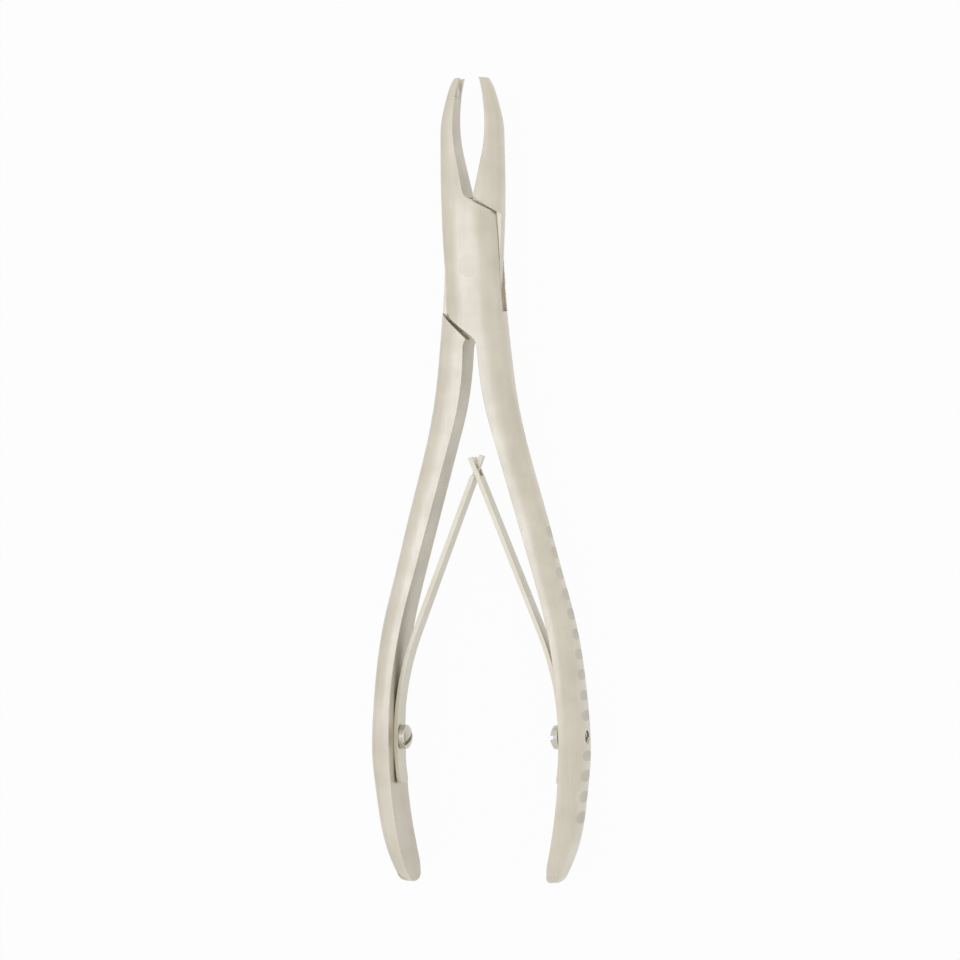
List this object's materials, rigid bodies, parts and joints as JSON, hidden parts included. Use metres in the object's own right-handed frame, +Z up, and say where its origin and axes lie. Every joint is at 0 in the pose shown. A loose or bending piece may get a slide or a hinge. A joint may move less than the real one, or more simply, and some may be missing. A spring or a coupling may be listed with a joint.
{
  "type": "dental extraction forceps",
  "caption": "Box-lock extraction forceps with hollow serrated beaks, bowed grooved handles and crossed leaf springs that hold them open.",
  "frame": {"origin": "on the surface that the instrument lies on, under the middle of its length and width", "axes": "+Y along the instrument towards the beaks, +X towards the handle of the female half, +Z up from the surface, along the pivot pin"},
  "size_m": [0.0428, 0.1546, 0.0102],
  "materials": {
    "forged_steel": "satin",
    "pin_steel": "satin",
    "spring_steel": "satin",
    "screw_steel": "satin"
  },
  "bodies": {
    "female_side": {"female_half": "forged_steel", "pivot_pin": "pin_steel", "forked_leaf_spring": "spring_steel", "forked_spring_screw": "screw_steel"},
    "male_side": {"male_half": "forged_steel", "tongued_leaf_spring": "spring_steel", "tongued_spring_screw": "screw_steel"}
  },
  "joints": [
    {"name": "box_lock", "type": "hinge", "parent": "female_side", "child": "male_side", "pos_m": [0, 0.04106, 0.0051], "axis": [0, 0, 1], "range_deg": [0, 5.5], "stiffness_Nm_per_rad": 0.3, "deforming": ["forked_leaf_spring", "tongued_leaf_spring"]}
  ]
}
